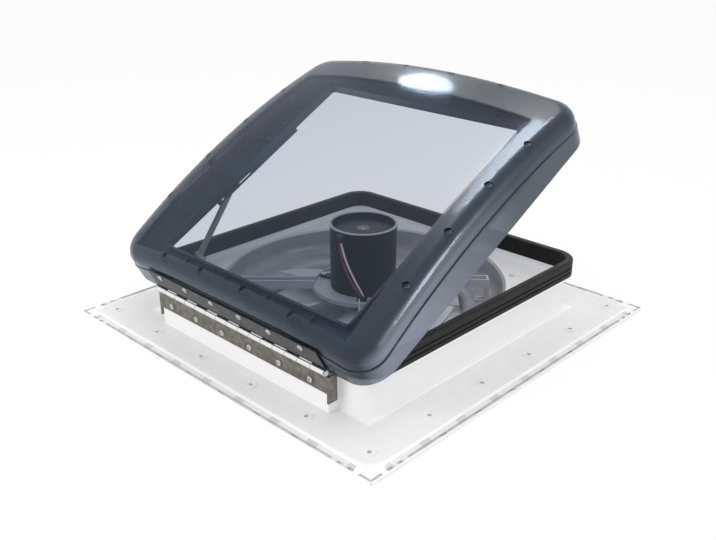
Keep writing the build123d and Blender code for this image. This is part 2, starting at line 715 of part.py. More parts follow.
def lid_inner_frame():
    """Frame inside the lid: sole, curb round the pane, outer wall, pillars, ribs and bosses."""
    wall_top = FRAME_LOW + FRAME_WALL_HEIGHT
    sole_top = FRAME_LOW + FRAME_SHEET
    body = rounded_block(FRAME_HALF_X, FRAME_HALF_Y, FRAME_CORNER, FRAME_LOW, sole_top)
    body += rounded_ring(FRAME_HALF_X, FRAME_HALF_Y, FRAME_CORNER, FRAME_WALL, FRAME_LOW, wall_top)
    body += rounded_block(
        PANE_HALF_X + CURB_SHEET,
        PANE_HALF_Y + CURB_SHEET,
        PANE_CORNER + CURB_SHEET,
        FRAME_LOW,
        FRAME_LOW + CURB_HEIGHT,
        PANE_SHIFT,
    )
    for x, y in rim_screw_places():
        body += upright(PILLAR_RADIUS, FRAME_LOW, rim_screw_seat(x, y) - RIM_BOSS_FLOOR - FRAME_GAP, x, y)
    rib_top = FRAME_LOW + FRAME_RIB_HEIGHT
    half_rib = FRAME_RIB_SHEET / 2
    for x, y in rim_screw_places():
        if abs(x) > abs(y):
            body += box_between(-abs(x), abs(x), y - half_rib, y + half_rib, FRAME_LOW, rib_top)
        else:
            body += box_between(x - half_rib, x + half_rib, -abs(y), abs(y), FRAME_LOW, rib_top)
    for x in leaf_screw_places():
        body += rod_along_y(LEAF_BOSS_RADIUS, -FRAME_HALF_Y, -FRAME_HALF_Y + LEAF_BOSS_LENGTH, x, LID_SCREW_Z)
    body &= dome_cavity(FRAME_LOW, FRAME_GAP)
    body -= rounded_block(
        PANE_HALF_X, PANE_HALF_Y, PANE_CORNER, FRAME_LOW - OVERRUN, DOME_APEX + OVERRUN, PANE_SHIFT
    )
    hole = SMALL_SHANK + SCREW_FIT
    for x, y in rim_screw_places():
        body -= upright(hole, rim_screw_seat(x, y) - RIM_SCREW_LENGTH, DOME_APEX, x, y)
    for x in leaf_screw_places():
        body -= rod_along_y(hole, -DOME_HALF_Y, DOME_BACK + SMALL_LENGTH, x, LID_SCREW_Z)
    for x, y in rail_screw_places():
        body -= upright(hole, FRAME_LOW - OVERRUN, FRAME_LOW + RAIL_SCREW_LENGTH, x, y)
    return body


def rim_screws():
    """Dark screws sunk in the edge of the lid."""
    return [Pos(x, y, rim_screw_seat(x, y)) * screw(RIM_SCREW_LENGTH) for x, y in rim_screw_places()]


# Stay


def stay_pivot():
    """Y and Z of the pivot at the foot of the arm."""
    return STAY_PIVOT_Y, STAY_PIVOT_Z


def stay_pin():
    """Y and Z of the roller with the lid open, from its place along the rail."""
    along, rise = STAY_PIN_ALONG, STAY_PIN_RISE
    turn = radians(OPEN_ANGLE)
    return AXIS_Y + along * cos(turn) - rise * sin(turn), AXIS_Z + along * sin(turn) + rise * cos(turn)


def stay_length_and_angle():
    """Distance and direction from the pivot to the roller."""
    (y_from, z_from), (y_to, z_to) = stay_pivot(), stay_pin()
    return hypot(y_to - y_from, z_to - z_from), degrees(atan2(z_to - z_from, y_to - y_from))


def stay_arm():
    """Flat arm with round ends, a narrower middle and a pressed bead."""
    length, angle = stay_length_and_angle()
    ends = [rod_along_x(ARM_END_RADIUS, ARM_LEFT, ARM_RIGHT, along, 0) for along in (0, length)]
    body = box_between(ARM_LEFT, ARM_RIGHT, 0, length, -ARM_WAIST / 2, ARM_WAIST / 2) + ends
    half_bead = ARM_BEAD_WIDTH / 2
    body -= box_between(
        ARM_RIGHT - ARM_BEAD_DEPTH,
        ARM_RIGHT + OVERRUN,
        ARM_BEAD_INSET,
        length - ARM_BEAD_INSET,
        -half_bead,
        half_bead,
    )
    hole = RIVET_RADIUS + PIN_FIT
    for along in (0, length):
        body -= rod_along_x(hole, ARM_LEFT - OVERRUN, ARM_RIGHT + OVERRUN, along, 0)
    y, z = stay_pivot()
    return Pos(0, y, z) * Rot(angle, 0, 0) * body


def stay_roller():
    """Roller that runs in the slot, riveted through the end of the arm."""
    y, z = stay_pin()
    head_left = WEB_RIGHT + STAY_GAP
    body = rod_along_x(RIVET_RADIUS, ARM_LEFT - RIVET_HEAD_HEIGHT, ARM_RIGHT, y, z)
    body += rod_along_x(RIVET_HEAD_RADIUS, ARM_LEFT - RIVET_HEAD_HEIGHT, ARM_LEFT, y, z)
    body += rod_along_x(ROLLER_RADIUS, ARM_RIGHT, head_left, y, z)
    body += rod_along_x(ROLLER_HEAD_RADIUS, head_left, head_left + ROLLER_HEAD_HEIGHT, y, z)
    return body


def foot_screw_places():
    """X and Y of the two screws in the foot of the stay."""
    x = LUG_LEFT + FOOT_DEPTH - FOOT_SCREW_INSET
    return [(x, STAY_PIVOT_Y + side * FOOT_SCREW_SPREAD) for side in (-1, 1)]


def stay_bracket():
    """Angle bracket on the deck, with a round topped lug for the pivot."""
    y, z = stay_pivot()
    start, end = y - LUG_HALF, y + LUG_HALF
    foot = box_between(LUG_LEFT, LUG_LEFT + FOOT_DEPTH, start, end, DECK_TOP, DECK_TOP + FOOT_SHEET)
    wings = box_between(LUG_LEFT, LUG_RIGHT, start, end, DECK_TOP, DECK_TOP + LUG_SHOULDER)
    neck = box_between(LUG_LEFT, LUG_RIGHT, y - LUG_END_RADIUS, y + LUG_END_RADIUS, DECK_TOP, z)
    body = foot + wings + neck + rod_along_x(LUG_END_RADIUS, LUG_LEFT, LUG_RIGHT, y, z)
    body -= rod_along_x(RIVET_RADIUS + PIN_FIT, LUG_LEFT - OVERRUN, LUG_RIGHT + OVERRUN, y, z)
    for x, y in foot_screw_places():
        hole = SMALL_SHANK + SCREW_PLAY
        body -= upright(hole, DECK_TOP - OVERRUN, DECK_TOP + FOOT_SHEET + OVERRUN, x, y)
    return body


def foot_screws():
    """Screws through the foot of the bracket into the deck."""
    return screws_down(foot_screw_places(), DECK_TOP + FOOT_SHEET, SHORT_LENGTH)


def stay_pivot_pin():
    """Rivet through the lug and the arm."""
    y, z = stay_pivot()
    left = LUG_LEFT - RIVET_HEAD_HEIGHT
    right = ARM_RIGHT + STAY_GAP
    body = rod_along_x(RIVET_RADIUS, left, right, y, z)
    body += rod_along_x(RIVET_HEAD_RADIUS, left, LUG_LEFT, y, z)
    body += rod_along_x(RIVET_HEAD_RADIUS, right, right + RIVET_HEAD_HEIGHT, y, z)
    return body


def rail_screw_places():
    """X and Y of the screws in the rail, with the lid shut."""
    x = (RAIL_OUTER + WEB_LEFT) / 2
    return [(x, AXIS_Y + place) for place in RAIL_SCREW_PLACES]


def stay_rail():
    """Angle rail under the border of the lid, with a long slot in its web. Drawn shut."""
    start, end = AXIS_Y + RAIL_START, AXIS_Y + RAIL_END
    body = box_between(RAIL_OUTER, WEB_RIGHT, start, end, FRAME_LOW - RAIL_SHEET, FRAME_LOW)
    body += box_between(WEB_LEFT, WEB_RIGHT, start, end, RAIL_LOW, FRAME_LOW)
    slot_z = AXIS_Z + STAY_PIN_RISE
    half = ROLLER_RADIUS + ROLLER_PLAY
    slot_start, slot_end = AXIS_Y + SLOT_START, AXIS_Y + SLOT_END
    left, right = WEB_LEFT - OVERRUN, WEB_RIGHT + OVERRUN
    body -= box_between(left, right, slot_start, slot_end, slot_z - half, slot_z + half)
    body -= [rod_along_x(half, left, right, y, slot_z) for y in (slot_start, slot_end)]
    hole = SMALL_SHANK + SCREW_PLAY
    for x, y in rail_screw_places():
        body -= upright(hole, FRAME_LOW - RAIL_SHEET - OVERRUN, FRAME_LOW + OVERRUN, x, y)
    return body


def rail_screws():
    """Screws that hold the rail up to the frame of the lid. Drawn shut."""
    seat = FRAME_LOW - RAIL_SHEET
    length = RAIL_SHEET + RAIL_SCREW_LENGTH / 2
    return [Pos(x, y, seat) * Rot(180, 0, 0) * screw(length) for x, y in rail_screw_places()]


# Fan well and motor carrier


def ear_places():
    """X and Y of the screws that hold the well under the corner decks."""
    return [polar(EAR_SCREW_RADIUS, angle) for angle in DIAGONALS]


def leg_screw_places():
    """X and Y of the screws in the feet of the motor carrier."""
    return [polar(LEG_SCREW_RADIUS, angle) for angle in DIAGONALS]


def fan_shroud():
    """Round well with a turned floor and a throat for the fan, hung under the deck."""
    floor_low = SHROUD_FLOOR - SHROUD_WALL
    tub = upright(SHROUD_RADIUS + SHROUD_WALL, floor_low, DECK_LOW)
    tub = fillet(tub.edges().group_by(Axis.Z)[0], SHROUD_TURN + SHROUD_WALL)
    tub += upright(SHROUD_FLANGE_RADIUS, DECK_LOW - SHROUD_WALL, DECK_LOW)
    tub += [upright(EAR_RADIUS, DECK_LOW - SHROUD_WALL, DECK_LOW, x, y) for x, y in ear_places()]
    tub += upright(THROAT_RADIUS + SHROUD_WALL, THROAT_LOW, SHROUD_FLOOR)
    hollow = upright(SHROUD_RADIUS, SHROUD_FLOOR, DECK_LOW + OVERRUN)
    tub -= fillet(hollow.edges().group_by(Axis.Z)[0], SHROUD_TURN)
    tub -= upright(THROAT_RADIUS, THROAT_LOW - OVERRUN, SHROUD_FLOOR + OVERRUN)
    for level, radius in ((floor_low, THROAT_MOUTH), (SHROUD_FLOOR, THROAT_MOUTH + SHROUD_WALL)):
        rings = tub.edges().filter_by(GeomType.CIRCLE).filter_by_position(Axis.Z, level, level)
        tub = fillet(rings.sort_by(SortBy.RADIUS)[0], radius)
    hole = SMALL_SHANK + SCREW_FIT
    for x, y in ear_places():
        tub -= upright(hole, DECK_LOW - SHROUD_WALL - OVERRUN, DECK_LOW + OVERRUN, x, y)
    for x, y in leg_screw_places():
        tub -= upright(hole, floor_low - OVERRUN, SHROUD_FLOOR + OVERRUN, x, y)
    return tub


def carrier_arm():
    """One channel arm of the carrier with its leg and foot, along +X."""
    half = CHANNEL_WIDTH / 2
    body = box_between(ARM_INNER_RADIUS, ARM_OUTER_RADIUS, -half, half, HUB_LOW, CHANNEL_TOP)
    body -= box_between(
        ARM_INNER_RADIUS - OVERRUN,
        ARM_OUTER_RADIUS - LEG_SHEET,
        -half + CHANNEL_SHEET,
        half - CHANNEL_SHEET,
        HUB_LOW + CHANNEL_SHEET,
        CHANNEL_TOP + OVERRUN,
    )
    end, foot_start = ARM_OUTER_RADIUS, ARM_OUTER_RADIUS - LEG_FOOT_LENGTH
    body += box_between(end - LEG_SHEET, end, -half, half, SHROUD_FLOOR, CHANNEL_TOP)
    return body + box_between(foot_start, end, -half, half, SHROUD_FLOOR, SHROUD_FLOOR + LEG_SHEET)


def motor_spider():
    """Hub plate with a rim and four arms on the diagonals, whose feet stand on the well floor."""
    body = upright(HUB_RADIUS, HUB_LOW, HUB_TOP + HUB_RIM_HEIGHT)
    body += [around(carrier_arm(), angle) for angle in DIAGONALS]
    body -= upright(HUB_RADIUS - HUB_RIM_SHEET, HUB_TOP, CHANNEL_TOP + OVERRUN)
    body -= upright(HUB_BORE, HUB_LOW - OVERRUN, HUB_TOP + OVERRUN)
    hole = SMALL_SHANK + SCREW_PLAY
    for x, y in leg_screw_places():
        body -= upright(hole, SHROUD_FLOOR - OVERRUN, SHROUD_FLOOR + LEG_SHEET + OVERRUN, x, y)
    for x, y in motor_screw_places():
        body -= upright(SMALL_SHANK + SCREW_FIT, HUB_LOW - OVERRUN, HUB_TOP + OVERRUN, x, y)
    return body


def screws_down(places, seat, length):
    """Upright screws with their heads on a seat."""
    return [Pos(x, y, seat) * screw(length) for x, y in places]


def spider_screws():
    """Screws through the feet of the carrier into the well floor."""
    return screws_down(leg_screw_places(), SHROUD_FLOOR + LEG_SHEET, SHORT_LENGTH)


# Motor


def motor_screw_places():
    """X and Y of the screws in the lugs of the can."""
    return [polar(LUG_SCREW_RADIUS, angle) for angle in LUG_ANGLES]


def motor_can():
    """Can with a proud top rim, a ledge for its cap and two fixing lugs."""
    inner = CAN_RADIUS - CAN_WALL
    cap_low = CAP_TOP - CAP_SHEET
    lug_top = HUB_TOP + MOTOR_LUG_SHEET
    body = upright(CAN_RADIUS, HUB_TOP, CAN_TOP)
    body += upright(CAN_RADIUS + CAN_RIM_PROUD, CAN_TOP - CAN_RIM_HEIGHT, CAN_TOP)
    lug = box_between(inner, LUG_SCREW_RADIUS, -MOTOR_LUG_RADIUS, MOTOR_LUG_RADIUS, HUB_TOP, lug_top)
    lug += upright(MOTOR_LUG_RADIUS, HUB_TOP, lug_top, LUG_SCREW_RADIUS)
    body += [around(lug, angle) for angle in LUG_ANGLES]
    body -= upright(inner, cap_low, CAN_TOP + OVERRUN)
    body -= upright(inner - CAP_LEDGE_WIDTH, cap_low - CAP_LEDGE_HEIGHT, CAN_TOP)
    body -= upright(inner, HUB_TOP + CAN_BASE, cap_low - CAP_LEDGE_HEIGHT)
    body -= upright(BEARING_RADIUS + BEARING_FIT, HUB_TOP - OVERRUN, HUB_TOP + CAN_BASE + OVERRUN)
    for x, y in motor_screw_places():
        body -= upright(SMALL_SHANK + SCREW_PLAY, HUB_TOP - OVERRUN, lug_top + OVERRUN, x, y)
    return body


def motor_screws():
    """Screws through the lugs, as long as the lug and the hub plate are thick."""
    length = MOTOR_LUG_SHEET + HUB_TOP - HUB_LOW
    return screws_down(motor_screw_places(), HUB_TOP + MOTOR_LUG_SHEET, length)


def motor_end_cap():
    """Cap sunk in the top of the can, with a boss round the upper bearing."""
    cap_low = CAP_TOP - CAP_SHEET
    body = upright(CAN_RADIUS - CAN_WALL - CAP_FIT, cap_low, CAP_TOP)
    body += upright(BEARING_RADIUS + CAP_SHEET, UPPER_BEARING_LOW, cap_low)
    return body - upright(BEARING_RADIUS + BEARING_FIT, UPPER_BEARING_LOW - OVERRUN, CAP_TOP + OVERRUN)


def bearing(low, high):
    """Plain bush round the shaft."""
    bore = upright(SHAFT_RADIUS + BEARING_FIT, low - OVERRUN, high + OVERRUN)
    return upright(BEARING_RADIUS, low, high) - bore


def motor_magnets():
    """Two magnet shells on the inside of the can."""
    outer = CAN_RADIUS - CAN_WALL - BEARING_FIT
    ring = upright(outer, MAGNET_LOW, MAGNET_TOP)
    ring -= upright(outer - MAGNET_SHEET, MAGNET_LOW - OVERRUN, MAGNET_TOP + OVERRUN)
    ring -= box_between(
        -CAN_RADIUS, CAN_RADIUS, -MAGNET_BREAK, MAGNET_BREAK, MAGNET_LOW - OVERRUN, MAGNET_TOP + OVERRUN
    )
    return ring.solids()


def motor_rotor():
    """Slotted rotor on the shaft."""
    body = upright(ROTOR_RADIUS, ROTOR_LOW, ROTOR_TOP)
    body -= upright(SHAFT_RADIUS + BEARING_FIT, ROTOR_LOW - OVERRUN, ROTOR_TOP + OVERRUN)
    half = ROTOR_SLOT_WIDTH / 2
    near, far = ROTOR_RADIUS - ROTOR_SLOT_DEPTH, ROTOR_RADIUS + OVERRUN
    slot = box_between(near, far, -half, half, ROTOR_LOW - OVERRUN, ROTOR_TOP + OVERRUN)
    return body - [around(slot, 360 * index / ROTOR_SLOTS) for index in range(ROTOR_SLOTS)]


# Fan


def fan_blade():
    """One twisted blade along +X, trimmed to the tip circle."""
    sections = []
    for radius, chord, angle in (
        (BLADE_ROOT_RADIUS, BLADE_ROOT_CHORD, BLADE_ROOT_ANGLE),
        (BLADE_TIP_RADIUS + OVERRUN, BLADE_TIP_CHORD, BLADE_TIP_ANGLE),
    ):
        plane = Plane(origin=(radius, 0, BLADE_MIDDLE), x_dir=(0, 1, 0), z_dir=(1, 0, 0))
        sections.append((plane * Rot(0, 0, angle) * Rectangle(chord, BLADE_SHEET)).faces()[0])
    blade = loft(sections, ruled=True)
    return blade & upright(BLADE_TIP_RADIUS, FAN_HUB_LOW - FAN_HUB_RADIUS, FAN_HUB_TOP + FAN_HUB_RADIUS)


def fan_impeller():
    """Cupped hub with twisted blades."""
    body = upright(FAN_HUB_RADIUS, FAN_HUB_LOW, FAN_HUB_TOP)
    body = fillet(body.edges().group_by(Axis.Z)[-1], FAN_HUB_WALL)
    body += [around(fan_blade(), 360 * index / BLADE_COUNT) for index in range(BLADE_COUNT)]
    cup = upright(FAN_HUB_RADIUS - FAN_HUB_WALL, FAN_HUB_LOW - OVERRUN, FAN_HUB_TOP - FAN_HUB_WALL)
    cup -= upright(FAN_BOSS_RADIUS, FAN_HUB_LOW, FAN_HUB_TOP)
    body -= cup
    return body - upright(SHAFT_RADIUS + BEARING_FIT, FAN_HUB_LOW - OVERRUN, FAN_HUB_TOP + OVERRUN)


def fan_nut():
    """Six-sided nut under the hub."""
    low = FAN_HUB_LOW - NUT_HEIGHT
    body = extrude(Pos(0, 0, low) * RegularPolygon(NUT_RADIUS, 6), NUT_HEIGHT)
    return body - upright(SHAFT_RADIUS + BEARING_FIT, low - OVERRUN, FAN_HUB_LOW + OVERRUN)


# Wires


def wire_outlet():
    """Small hood on the can that the wires come out of."""
    near = CAN_RADIUS - CAN_WALL
    body = box_between(near, OUTLET_OUT, -OUTLET_HALF, OUTLET_HALF, OUTLET_LOW, OUTLET_HIGH)
    outer = [edge for edge in body.faces().sort_by(Axis.X)[-1].edges() if edge.center().Z > OUTLET_LOW]
    body = around(fillet(outer, OUTLET_EDGE), OUTLET_ANGLE)
    body -= upright(CAN_RADIUS + OUTLET_FIT, OUTLET_LOW - OVERRUN, CAN_TOP - CAN_RIM_HEIGHT)
    rim_low = CAN_TOP - CAN_RIM_HEIGHT - OUTLET_FIT
    return body - upright(CAN_RADIUS + CAN_RIM_PROUD + OUTLET_FIT, rim_low, CAN_TOP + OVERRUN)


def wire(places):
    """Tube along straight runs joined by arcs as large as the runs allow."""
    points = [Vector(*place) for place in places]
    radii = []
    for before, corner, after in zip(points, points[1:], points[2:]):
        first, second = corner - before, after - corner
        half_turn = radians(first.get_angle(second)) / 2
        radii.append(ARC_SHARE * min(first.length, second.length) / tan(half_turn))
    print("arc radii", [round(radius, 1) for radius in radii])
    path = FilletPolyline(*points, radius=radii)
    start = Plane(origin=path @ 0, z_dir=path % 0)
    tube = sweep(start * Circle(WIRE_RADIUS), path=path)
    section = Circle(WIRE_RADIUS).area
    print("tube volume", round(tube.volume, 2), "section times length", round(section * path.length, 2))
    return tube


def terminal_block():
    """Block on the hub plate that both wires end in."""
    half_length, half_depth = TERMINAL_LENGTH / 2, TERMINAL_DEPTH / 2
    top = HUB_TOP + TERMINAL_HEIGHT
    near, far = TERMINAL_RADIUS - half_depth, TERMINAL_RADIUS + half_depth
    body = box_between(near, far, -half_length, half_length, HUB_TOP, top)
    half = TERMINAL_GROOVE / 2
    body -= box_between(far - TERMINAL_GROOVE, far + OVERRUN, -half, half, HUB_TOP - OVERRUN, top + OVERRUN)
    return around(body, TERMINAL_ANGLE)


def build():
    """Every node by name."""
    fixed_front = BLOCK_FRONT - LEAF_SHEET
    lid_front = DOME_BACK - LEAF_SHEET
    return {
        "base_frame": base_frame(),
        "rubber_seal": rubber_seal(),
        "fixed_hinge_leaf": fixed_hinge_leaf(),
        "hinge_pin": hinge_pin(),
        "fixed_leaf_screws": group(leaf_screws(fixed_front, FIXED_SCREW_Z)),
        "fan_shroud": fan_shroud(),
        "shroud_screws": group(screws_down(ear_places(), DECK_TOP, SHORT_LENGTH)),
        "motor_spider": motor_spider(),
        "spider_screws": group(spider_screws()),
        "motor_can": motor_can(),
        "motor_end_cap": motor_end_cap(),
        "motor_magnets": group(motor_magnets()),
        "upper_bearing": bearing(UPPER_BEARING_LOW, CAP_TOP),
        "lower_bearing": bearing(LOWER_BEARING_LOW, LOWER_BEARING_TOP),
        "motor_screws": group(motor_screws()),
        "wire_outlet": wire_outlet(),
        "white_wire": wire(WHITE_PLACES),
        "red_wire": wire(RED_PLACES),
        "terminal_block": terminal_block(),
        "stay_bracket": stay_bracket(),
        "stay_bracket_screws": group(foot_screws()),
        "stay_pivot_pin": stay_pivot_pin(),
        "lid_dome": opened(lid_dome()),
        "lid_inner_frame": opened(lid_inner_frame()),
        "lid_frame_screws": group([opened(shape) for shape in rim_screws()]),
        "lid_hinge_leaf": opened(lid_hinge_leaf()),
        "lid_leaf_screws": group([opened(shape) for shape in leaf_screws(lid_front, LID_SCREW_Z)]),
        "stay_rail": opened(stay_rail()),
        "rail_screws": group([opened(shape) for shape in rail_screws()]),
        "stay_arm": stay_arm(),
        "stay_roller": stay_roller(),
        "motor_shaft": upright(SHAFT_RADIUS, SHAFT_LOW, SHAFT_TOP),
        "motor_rotor": motor_rotor(),
        "fan_impeller": fan_impeller(),
        "fan_nut": fan_nut(),
    }


os.makedirs("parts", exist_ok=True)
for name, shape in build().items():
    export_step(shape, f"parts/{name}.step")
    print(name, round(shape.volume / 1000, 2), "cm3", "valid" if shape.is_valid else "NOT VALID")
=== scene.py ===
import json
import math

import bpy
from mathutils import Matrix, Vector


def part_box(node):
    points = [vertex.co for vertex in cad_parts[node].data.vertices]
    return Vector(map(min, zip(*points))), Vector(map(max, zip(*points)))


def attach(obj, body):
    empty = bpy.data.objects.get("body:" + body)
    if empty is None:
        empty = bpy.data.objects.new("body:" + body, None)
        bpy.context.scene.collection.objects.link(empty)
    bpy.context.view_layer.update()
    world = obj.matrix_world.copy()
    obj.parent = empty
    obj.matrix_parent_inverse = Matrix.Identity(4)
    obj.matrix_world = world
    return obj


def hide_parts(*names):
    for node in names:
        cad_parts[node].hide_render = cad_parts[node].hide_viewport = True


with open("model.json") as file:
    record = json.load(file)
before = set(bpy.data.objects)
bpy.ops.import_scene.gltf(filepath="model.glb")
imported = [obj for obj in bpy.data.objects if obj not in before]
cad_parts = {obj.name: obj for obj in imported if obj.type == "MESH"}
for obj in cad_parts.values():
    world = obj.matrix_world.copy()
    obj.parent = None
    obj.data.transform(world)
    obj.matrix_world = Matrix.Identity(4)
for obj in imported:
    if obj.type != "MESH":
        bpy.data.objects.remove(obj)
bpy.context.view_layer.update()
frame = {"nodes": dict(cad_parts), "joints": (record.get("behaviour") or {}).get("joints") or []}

# %% [markdown]
# A caravan roof vent, dressed for a photograph.
# The solids arrive ready made, each under its own name, so nothing here has to be fitted by hand.
# What is left is the look: moulded plastic, rubber, plated steel and the smoked lid, each as a
# recipe of shader nodes, and then the camera, the floor and the lamps of a small studio.

nodes = frame["nodes"]

# %% [markdown]
# The camera comes first, because every later choice is judged through it.
# Its place, turn and tilt were worked out from the flange, the seal and the lid, so it needs no
# shift. A camera looks along its own -Z, so the matrix columns are right, up and backwards.

# %% The camera
CAMERA_PLACE = Vector((0.7162, -0.7464, 0.5106))
CAMERA_TURN = 0.7713
CAMERA_TILT = 0.4113
PICTURE_WIDTH = 716
FOCAL_PIXELS = 872.43
SENSOR_MM = 36.0

forward = Vector(
    (
        -math.sin(CAMERA_TURN) * math.cos(CAMERA_TILT),
        math.cos(CAMERA_TURN) * math.cos(CAMERA_TILT),
        -math.sin(CAMERA_TILT),
    )
)
right = Vector((math.cos(CAMERA_TURN), math.sin(CAMERA_TURN), 0))
up = right.cross(forward)
camera_data = bpy.data.cameras.new("camera")
camera_data.sensor_width = SENSOR_MM
camera_data.lens = FOCAL_PIXELS / PICTURE_WIDTH * SENSOR_MM
camera_data.clip_start = 0.01
camera = bpy.data.objects.new("camera", camera_data)
axes = Matrix((right, up, -forward)).transposed()
camera.matrix_world = Matrix.Translation(CAMERA_PLACE) @ axes.to_4x4()
bpy.context.scene.collection.objects.link(camera)
bpy.context.scene.camera = camera
print("lens:", round(camera_data.lens, 1), "mm")

# %% [markdown]
# Two thin wires run down the front of the motor, from a hood under its rim to a terminal block.
# A wire is soft, so it is drawn as one smooth curve instead of straight runs with rounded corners.
# Its control points are listed: straight down out of the hood, one long slant across the
# can, and down into the block. An order 3 curve cuts inside them, as a limp wire does.
# Its thickness is in the radius of its points, because Blender widens a curve's box by that radius.

# %% The two wires
WIRE_DIAMETER = 0.0026
WIRE_ROUTES = {
    "white_wire": (
        (0.0066, -0.0465, 0.113),
        (0.0086, -0.0472, 0.107),
        (0.0168, -0.0480, 0.090),
        (0.0262, -0.0458, 0.072),
        (0.0345, -0.0405, 0.054),
        (0.0358, -0.0370, 0.046),
    ),
    "red_wire": (
        (0.0032, -0.0469, 0.113),
        (0.0050, -0.0480, 0.106),
        (0.0128, -0.0496, 0.088),
        (0.0222, -0.0488, 0.070),
        (0.0312, -0.0436, 0.053),
        (0.0330, -0.0395, 0.046),
    ),
}


def smooth_wire(name, route):
    """A round curve through space, with the route's points as its control points."""
    line = bpy.data.curves.new(name + "_line", "CURVE")
    line.dimensions = "3D"
    line.bevel_depth = 1
    line.bevel_resolution = 4
    line.use_fill_caps = True
    spline = line.splines.new("NURBS")
    spline.points.add(len(route) - 1)
    for point, place in zip(spline.points, route):
        point.co = (*place, 1)
        point.radius = WIRE_DIAMETER / 2
    spline.order_u = 3
    spline.use_endpoint_u = True
    spline.resolution_u = 16
    piece = bpy.data.objects.new(name + "_line", line)
    bpy.context.scene.collection.objects.link(piece)
    return piece


wires = {}
for name, route in WIRE_ROUTES.items():
    wire = smooth_wire(name, route)
    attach(wire, "base")
    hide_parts(name)
    wires[name] = wire
print("wires:", {name: len(route) for name, route in WIRE_ROUTES.items()})

# %% [markdown]
# Shader nodes are easier to read as sums than as wires.
# Socket wraps one output of a node. Adding, multiplying or comparing sockets adds the Math node
# that does it, and the reflected forms let a plain number stand on the left, as in 1 - mask.


# %% Sockets that can be added and multiplied
class Socket:
    def __init__(self, recipe, output):
        self.recipe = recipe
        self.output = output

    def maths(self, operation, first, second=0.0, clamp=False):
        settings = {"operation": operation, "use_clamp": clamp}
        return self.recipe.node("ShaderNodeMath", settings, {0: first, 1: second})

    def __add__(self, other):
        return self.maths("ADD", self, other)

    def __sub__(self, other):
        return self.maths("SUBTRACT", self, other)

    def __rsub__(self, other):
        return self.maths("SUBTRACT", other, self)

    def __mul__(self, other):
        return self.maths("MULTIPLY", self, other)

    def __gt__(self, other):
        return self.maths("GREATER_THAN", self, other)

    def __lt__(self, other):
        return self.maths("LESS_THAN", self, other)

    def __abs__(self):
        return self.maths("ABSOLUTE", self)

    __radd__ = __add__
    __rmul__ = __mul__

    def cosine(self):
        return self.maths("COSINE", self)

    def larger(self, other):
        return self.maths("MAXIMUM", self, other)

    def kept(self):
        """The same value, held between 0 and 1."""
        return self.maths("ADD", self, 0.0, clamp=True)

    def ramp(self, low, high):
        """0 below low and 1 above high, with an even slope between them."""
        return ((self - low) * (1 / (high - low))).kept()


# %% [markdown]
# Recipe holds one tree of nodes. One method makes any node, and the others are short names for the
# few that this vent needs: where the surface is, a noise, a mix of two values or colours, a bump,
# and the shaders. Colours and vectors have their own nodes, because a Math node turns them grey.


# %% A recipe of nodes
class Recipe:
    def __init__(self, name, owner=None):
        self.owner = owner or bpy.data.materials.new(name)
        self.owner.use_nodes = True
        self.tree = self.owner.node_tree
        self.tree.nodes.clear()

    def node(self, kind, settings, sockets, output=0):
        """One node: its settings first, then the values or links of its sockets."""
        made = self.tree.nodes.new(kind)
        for name, value in settings.items():
            setattr(made, name, value)
        for name, value in sockets.items():
            if isinstance(value, Socket):
                self.tree.links.new(value.output, made.inputs[name])
            else:
                made.inputs[name].default_value = value
        return Socket(self, made.outputs[output] if len(made.outputs) else None)

    def place(self):
        """Where the surface is, in metres, in the vent's own frame."""
        return self.node("ShaderNodeTexCoord", {}, {}, "Object")

    def axis(self, name, vector=None):
        """One coordinate of a vector, or of the surface's place."""
        return self.node("ShaderNodeSeparateXYZ", {}, {0: vector or self.place()}, name)

    def length(self, vector):
        return self.node("ShaderNodeVectorMath", {"operation": "LENGTH"}, {0: vector}, "Value")

    def noise(self, scale, detail=3.0, stretch=(1, 1, 1), contrast=1.0):
        """Noise from 0 to 1 with a grain of about 1/scale metres, pulled along an axis by stretch."""
        squeezed = self.node("ShaderNodeMapping", {}, {"Vector": self.place(), "Scale": stretch})
        raw = self.node(
            "ShaderNodeTexNoise", {}, {"Vector": squeezed, "Scale": scale, "Detail": detail}
        )
        return (0.5 + (raw - 0.5) * contrast).kept()

    def between(self, mask, low, high):
        """A value that goes from low to high with the mask."""
        return low + mask * (high - low)

    def blend(self, mask, first, second):
        """A colour that goes from the first to the second with the mask."""
        colours = {"Factor": mask, 6: opaque(first), 7: opaque(second)}
        return self.node("ShaderNodeMix", {"data_type": "RGBA"}, colours, output=2)

    def bump(self, height, depth, strength=0.5):
        """A normal from a height, where depth is in metres."""
        sockets = {"Height": height, "Distance": depth, "Strength": strength}
        return self.node("ShaderNodeBump", {}, sockets)

    def surface(self, colour, roughness, **rest):
        """The Principled shader, with plain values on its own sockets."""
        sockets = {"Base Color": opaque(colour), "Roughness": roughness}
        sockets.update({name.replace("_", " "): value for name, value in rest.items()})
        return self.node("ShaderNodeBsdfPrincipled", {}, sockets)

    def mixed(self, factor, first, second):
        """One shader that goes over into another."""
        return self.node("ShaderNodeMixShader", {}, {0: factor, 1: first, 2: second})

    def finish(self, shader, output="ShaderNodeOutputMaterial"):
        """Join the shader to the output and give the material or world."""
        self.node(output, {}, {"Surface": shader})
        return self.owner


def opaque(colour):
    """A colour as a socket takes it."""
    return colour if isinstance(colour, Socket) else (*colour, 1)
